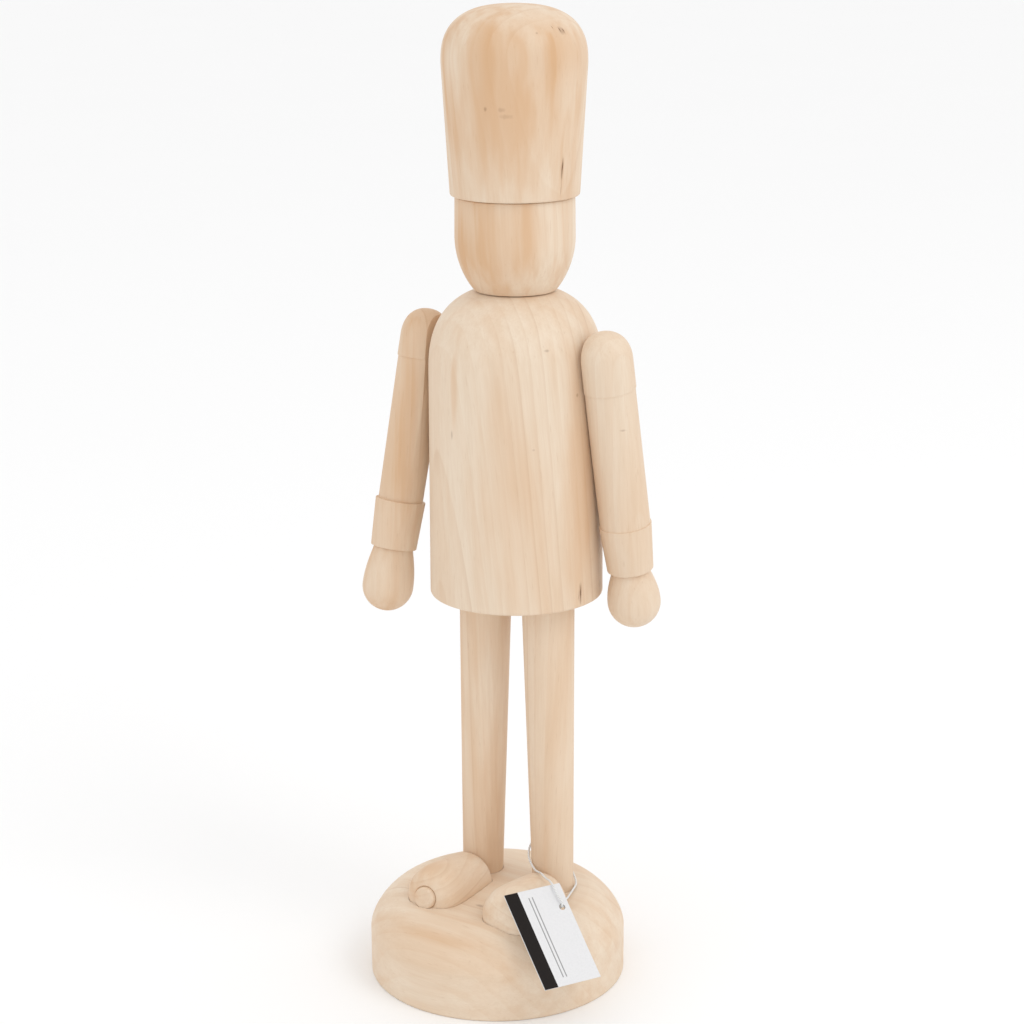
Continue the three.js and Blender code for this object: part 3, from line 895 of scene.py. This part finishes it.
def flowing(points, steps):
    """A smooth line through points, denser where they are closer."""
    points = [2 * points[0] - points[1], *points, 2 * points[-1] - points[-2]]
    line = []
    for p0, p1, p2, p3 in zip(points, points[1:], points[2:], points[3:]):
        t = [0.0]
        for a, b in ((p0, p1), (p1, p2), (p2, p3)):
            t.append(t[-1] + max((b - a).length, 1e-9) ** 0.5)
        for i in range(steps):
            x = t[1] + (t[2] - t[1]) * i / steps
            a1 = p0.lerp(p1, (x - t[0]) / (t[1] - t[0]))
            a2 = p1.lerp(p2, (x - t[1]) / (t[2] - t[1]))
            a3 = p2.lerp(p3, (x - t[2]) / (t[3] - t[2]))
            b1 = a1.lerp(a2, (x - t[0]) / (t[2] - t[0]))
            b2 = a2.lerp(a3, (x - t[1]) / (t[3] - t[1]))
            line.append(b1.lerp(b2, (x - t[1]) / (t[2] - t[1])))
    line.append(points[-2].copy())
    return line


def tube(name, line, radius, sides=14):
    """A closed round tube along a line, with its length in metres down its UV map."""
    mesh = bmesh.new()
    uv = mesh.loops.layers.uv.new("UVMap")
    normal = (line[1] - line[0]).orthogonal().normalized()
    rings, runs = [], [0.0]
    for i, point in enumerate(line):
        ahead = (line[min(i + 1, len(line) - 1)] - line[max(i - 1, 0)]).normalized()
        normal = (normal - ahead * normal.dot(ahead)).normalized()
        side = ahead.cross(normal)
        ring = []
        for k in range(sides):
            a = 2 * math.pi * k / sides
            ring.append(mesh.verts.new(point + (normal * math.cos(a) + side * math.sin(a)) * radius))
        rings.append(ring)
        if i:
            runs.append(runs[-1] + (point - line[i - 1]).length)
    for i, (low, high) in enumerate(zip(rings, rings[1:])):
        for k in range(sides):
            j = (k + 1) % sides
            face = mesh.faces.new([low[k], low[j], high[j], high[k]])
            marks = [(k, i), (k + 1, i), (k + 1, i + 1), (k, i + 1)]
            for loop, (around, row) in zip(face.loops, marks):
                loop[uv].uv = (around / sides, runs[row])
    mesh.faces.new(list(reversed(rings[0])))
    mesh.faces.new(rings[-1])
    bmesh.ops.recalc_face_normals(mesh, faces=mesh.faces)
    return solid(name, mesh, 60)


def tag_place(tag):
    turn = Euler((0, 0, tag.turn)).to_matrix() @ Euler((tag.tilt, 0, 0)).to_matrix()
    turn = turn @ Euler((0, tag.roll, 0)).to_matrix()
    return Matrix.Translation(tag.place) @ turn.to_4x4()


# Operators.


class SOLDIER_OT_stage(bpy.types.Operator):
    """Sets up the camera, the soft lights and the pale floor"""

    bl_idname = "soldier.stage"
    bl_label = "Set Up Stage"

    def execute(self, context):
        stage = context.scene.soldier_stage
        context.scene.view_settings.view_transform = "Standard"
        self.camera(context, stage)
        self.floor(context)
        self.lamps(context, stage)
        return {"FINISHED"}

    def camera(self, context, stage):
        data = bpy.data.cameras.new("camera")
        data.lens = stage.lens
        data.sensor_width = 36
        data.clip_end = 100
        camera = bpy.data.objects.new("camera", data)
        turn = Matrix.Rotation(stage.camera_turn, 4, "Z")
        drop = Matrix.Rotation(math.pi / 2 - stage.camera_drop, 4, "X")
        roll = Matrix.Rotation(stage.camera_roll, 4, "Z")
        camera.matrix_world = Matrix.Translation(stage.camera_place) @ turn @ drop @ roll
        context.scene.collection.objects.link(camera)
        context.scene.camera = camera

    def floor(self, context):
        mesh = bmesh.new()
        bmesh.ops.create_circle(mesh, cap_ends=True, segments=96, radius=14)
        floor = solid("studio_floor", mesh)
        floor.data.materials.append(studio_floor())

    def lamps(self, context, stage):
        world = bpy.data.worlds.new("studio")
        world.use_nodes = True
        background = world.node_tree.nodes["Background"]
        background.inputs["Color"].default_value = (1, 1, 1, 1)
        background.inputs["Strength"].default_value = stage.sky
        context.scene.world = world
        target = Vector((0, 0, 0.2))
        turn = Matrix.Rotation(stage.camera_turn, 3, "Z")
        lamps = (
            ("key_lamp", Vector((0.95, -0.75, 1.25)), 0.9, stage.key),
            ("fill_lamp", Vector((-1.25, -0.7, 0.75)), 1.1, stage.fill),
        )
        for name, offset, width, strength in lamps:
            data = bpy.data.lights.new(name, "AREA")
            data.shape = "DISK"
            data.size = width
            data.energy = strength
            lamp = bpy.data.objects.new(name, data)
            lamp.location = target + turn @ offset
            lamp.rotation_euler = (turn @ offset).to_track_quat("Z", "Y").to_euler()
            context.scene.collection.objects.link(lamp)


class SOLDIER_OT_cord(bpy.types.Operator):
    """Lays the tag's cord through the card and round the leg, and ties its ends"""

    bl_idname = "soldier.cord"
    bl_label = "Lay Cord"

    def execute(self, context):
        tag = context.scene.soldier_tag
        line = flowing([Vector(p) * MM for p in CORD_LINE], 9)
        cord = tube("tag_cord_twist", line, tag.cord_radius)
        finish = twisted_cord()
        stand_for(cord, "tag_cord", BODY, finish)
        knot = self.knot(tag, (line[0] + line[-1]) / 2)
        knot.data.materials.append(finish)
        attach(knot, BODY)
        return {"FINISHED"}

    def knot(self, tag, place):
        """A small pulled knot with two short tails."""
        line = []
        for i in range(61):
            a = 2 * math.pi * (i / 60 * 0.94 + 0.03)
            swell = 0.62 + 0.3 * math.cos(3 * a)
            line.append(place + Vector((
                swell * math.cos(2 * a), swell * math.sin(2 * a), 0.42 * math.sin(3 * a) - 0.1,
            )) * 1.15 * MM)
        tails = [Vector((0.4, 1.9, -1.6)), Vector((-0.6, 1.0, -2.4))]
        line = flowing([line[0] + tails[0] * MM, *line[::3], line[-1] + tails[1] * MM], 4)
        return tube("cord_knot", line, tag.cord_radius * 0.9, 10)


class SOLDIER_OT_tag(bpy.types.Operator):
    """Cuts the card tag with its hole and its slight curl"""

    bl_idname = "soldier.tag"
    bl_label = "Cut Tag"

    def execute(self, context):
        tag = context.scene.soldier_tag
        card = self.card(tag)
        hole = Vector((tag.hole_across, 0, tag.hole_up))
        reach = Vector((0, 4 * MM, 0))
        carve(card, [rod(tag.hole_radius, hole - reach, hole + reach)])
        card.data.transform(tag_place(tag))
        stand_for(card, "swing_tag", BODY, printed_card())
        return {"FINISHED"}

    def card(self, tag):
        """A card in the XZ plane, its printed side to -Y, curled a little at its corners."""
        columns, rows = 25, 40
        mesh = bmesh.new()
        uv = mesh.loops.layers.uv.new("UVMap")
        sheets = []
        for face in (-1, 1):
            grid = []
            for i in range(columns + 1):
                x = i / columns - 0.5
                line = []
                for k in range(rows + 1):
                    z = k / rows - 0.5
                    bow = tag.curl * (4 * z * z - 0.5 + 2.2 * x * z)
                    y = face * tag.thickness / 2 - bow * 0.5
                    line.append(mesh.verts.new((x * tag.width, y, z * tag.height)))
                grid.append(line)
            sheets.append(grid)
        front, back = sheets
        marks = {}
        for side, grid in enumerate(sheets):
            for i in range(columns):
                for k in range(rows):
                    corners = [(i, k), (i + 1, k), (i + 1, k + 1), (i, k + 1)]
                    face = mesh.faces.new([grid[a][b] for a, b in corners])
                    for loop, (a, b) in zip(face.loops, corners):
                        loop[uv].uv = (a / columns + 2 * side, b / rows)
        border = [(i, 0) for i in range(columns)] + [(columns, k) for k in range(rows)]
        border += [(i, rows) for i in range(columns, 0, -1)] + [(0, k) for k in range(rows, 0, -1)]
        for (a, b), (c, d) in zip(border, border[1:] + border[:1]):
            face = mesh.faces.new([front[a][b], front[c][d], back[c][d], back[a][b]])
            for loop in face.loops:
                loop[uv].uv = (2.5, 0.5)
        bmesh.ops.recalc_face_normals(mesh, faces=mesh.faces)
        return solid("card_tag", mesh)


class SOLDIER_OT_base(bpy.types.Operator):
    """Turns the round base, with its pockets for the legs and feet"""

    bl_idname = "soldier.base"
    bl_label = "Turn Base"

    def execute(self, context):
        sizes = context.scene.soldier_base
        limbs = context.scene.soldier_limbs
        base = turned("base_disc", base_outline(sizes), Vector((0, 0, 0)))
        cutters = []
        for side in SIDES.values():
            cutters += [leg(limbs, side, sizes.gap), foot(limbs, side, sizes.gap)]
        carve(base, cutters)
        wooden(base, "base")
        return {"FINISHED"}


class SOLDIER_OT_legs(bpy.types.Operator):
    """Turns the two legs and the two feet"""

    bl_idname = "soldier.legs"
    bl_label = "Turn Legs and Feet"

    def execute(self, context):
        limbs = context.scene.soldier_limbs
        gap = context.scene.soldier_base.gap
        for word, side in SIDES.items():
            shin = leg(limbs, side)
            shin.name = "leg_turning_" + word
            wooden(shin, "leg_" + word)
            shoe = carve(foot(limbs, side), [leg(limbs, side, gap)])
            shoe.name = "foot_turning_" + word
            wooden(shoe, "foot_" + word)
        return {"FINISHED"}


class SOLDIER_OT_torso(bpy.types.Operator):
    """Turns the torso, with its holes for the legs, pins and neck dowel"""

    bl_idname = "soldier.torso"
    bl_label = "Turn Torso"

    def execute(self, context):
        scene = context.scene
        limbs = scene.soldier_limbs
        torso = turned("torso_turning", torso_outline(scene.soldier_figure))
        cutters = [dowel_hole("neck_dowel")]
        for word, side in SIDES.items():
            cutters.append(leg(limbs, side, HOLE_SLACK))
            hub = pivot(word)
            inner = Vector((AXIS.x + side * (limbs.arm_flat - limbs.pin_depth), hub.y, hub.z))
            outer = Vector((AXIS.x + side * (limbs.arm_flat + limbs.pin_reach), hub.y, hub.z))
            cutters.append(rod(limbs.pin_radius, inner, outer))
        cutters += [
            slit((34.2, 6.6, 158.6), (1, -0.17, 0), (0, 0, 1), 8.4 * MM, 0.7 * MM, 1.6 * MM),
            slit((33.9, 5.6, 158.0), (1, -0.2, 0), (0, 0.1, 1), 4.6 * MM, 0.35 * MM, 0.8 * MM),
        ]
        carve(torso, cutters)
        wooden(torso, "torso")
        return {"FINISHED"}


class SOLDIER_OT_head(bpy.types.Operator):
    """Turns the head"""

    bl_idname = "soldier.head"
    bl_label = "Turn Head"

    def execute(self, context):
        head = turned("head_turning", head_outline(context.scene.soldier_figure))
        carve(head, [dowel_hole("neck_dowel"), dowel_hole("hat_dowel")])
        wooden(head, "head")
        return {"FINISHED"}


class SOLDIER_OT_hat(bpy.types.Operator):
    """Turns the hat, with its drying cracks and its knot"""

    bl_idname = "soldier.hat"
    bl_label = "Turn Hat"

    def execute(self, context):
        hat = turned("hat_turning", hat_outline(context.scene.soldier_figure))
        out = (0.97, -0.22, 0)
        dome = (0.62, -0.1, 0.78)
        cutters = [
            dowel_hole("hat_dowel"),
            slit((25.9, 6.7, 317.2), out, (0, 0, 1), 7.4 * MM, 0.75 * MM, 1.6 * MM, 0.15 * MM),
            slit((25.4, 6.6, 310.2), out, (0, 0, 1), 9.5 * MM, 0.34 * MM, 1.0 * MM, 0.1 * MM),
            slit((23.3, 4.1, 367.1), dome, (0.78, 0, -0.62), 3.0 * MM, 0.5 * MM, 0.8 * MM),
            slit((25.0, 6.7, 366.0), dome, (0.78, 0.1, -0.62), 4.2 * MM, 0.75 * MM, 1.0 * MM),
            slit((25.3, 8.3, 365.6), dome, (0.78, 0.1, -0.62), 3.6 * MM, 0.6 * MM, 1.0 * MM),
        ]
        carve(hat, cutters)
        wooden(hat, "hat")
        return {"FINISHED"}


class SOLDIER_OT_arms(bpy.types.Operator):
    """Turns the two arms, flattens their inner sides and bores them for their pins"""

    bl_idname = "soldier.arms"
    bl_label = "Turn Arms"

    def execute(self, context):
        limbs = context.scene.soldier_limbs
        for word, side in SIDES.items():
            sleeve = SLEEVES[word]
            splay, swing = math.radians(sleeve.splay), math.radians(sleeve.swing)
            down = Vector((side * math.sin(splay), -math.sin(swing), -1)).normalized()
            hub = pivot(word)
            arm = turned("arm_turning_" + word, arm_outline(limbs, sleeve), hub - down * limbs.pin_drop, down)
            flat = AXIS.x + side * limbs.arm_flat
            inner = Vector((flat - side * FLAT_CUT_DEPTH, hub.y, hub.z))
            face = Vector((flat, hub.y, hub.z))
            bore_end = Vector((flat + side * limbs.pin_reach, hub.y, hub.z))
            bore_start = face - Vector((side * MM, 0, 0))
            bore = rod(limbs.pin_radius, bore_start, bore_end)
            carve(arm, [rod(FLAT_CUT_RADIUS, inner, face), bore])
            wooden(arm, "arm_" + word, word + "_arm")
        return {"FINISHED"}


class SOLDIER_OT_dowels(bpy.types.Operator):
    """Gives the inner dowels and pins their finish"""

    bl_idname = "soldier.dowels"
    bl_label = "Finish Dowels"

    def execute(self, context):
        finish = wood("dowel")
        for name in ("neck_dowel", "hat_dowel", "shoulder_pin_right", "shoulder_pin_left"):
            node = frame["nodes"][name]
            node.data.materials.clear()
            node.data.materials.append(finish)
        return {"FINISHED"}


class SOLDIER_PT_panel(bpy.types.Panel):
    """Lists the steps of making the soldier"""

    bl_idname = "SOLDIER_PT_panel"
    bl_label = "Toy Soldier"
    bl_space_type = "VIEW_3D"
    bl_region_type = "UI"
    bl_category = "Toy Soldier"

    def draw(self, context):
        for step in STEPS:
            self.layout.operator(step.bl_idname)
        for holder in SETTINGS:
            box = self.layout.box()
            for name in SETTINGS[holder].__annotations__:
                box.prop(getattr(context.scene, holder), name)


SETTINGS = {
    "soldier_stage": SoldierStage,
    "soldier_base": SoldierBase,
    "soldier_figure": SoldierFigure,
    "soldier_limbs": SoldierLimbs,
    "soldier_tag": SoldierTag,
    "soldier_look": SoldierLook,
}

STEPS = (
    SOLDIER_OT_stage, SOLDIER_OT_tag, SOLDIER_OT_cord, SOLDIER_OT_base, SOLDIER_OT_legs, SOLDIER_OT_torso,
    SOLDIER_OT_head, SOLDIER_OT_hat, SOLDIER_OT_arms, SOLDIER_OT_dowels,
)


def register():
    for holder, group in SETTINGS.items():
        bpy.utils.register_class(group)
        setattr(bpy.types.Scene, holder, PointerProperty(type=group))
    for step in STEPS:
        bpy.utils.register_class(step)
    bpy.utils.register_class(SOLDIER_PT_panel)


def unregister():
    bpy.utils.unregister_class(SOLDIER_PT_panel)
    for step in reversed(STEPS):
        bpy.utils.unregister_class(step)
    for holder, group in SETTINGS.items():
        delattr(bpy.types.Scene, holder)
        bpy.utils.unregister_class(group)


def main():
    register()
    for step in STEPS:
        getattr(bpy.ops.soldier, step.bl_idname.partition(".")[2])()


if __name__ == "__main__":
    main()
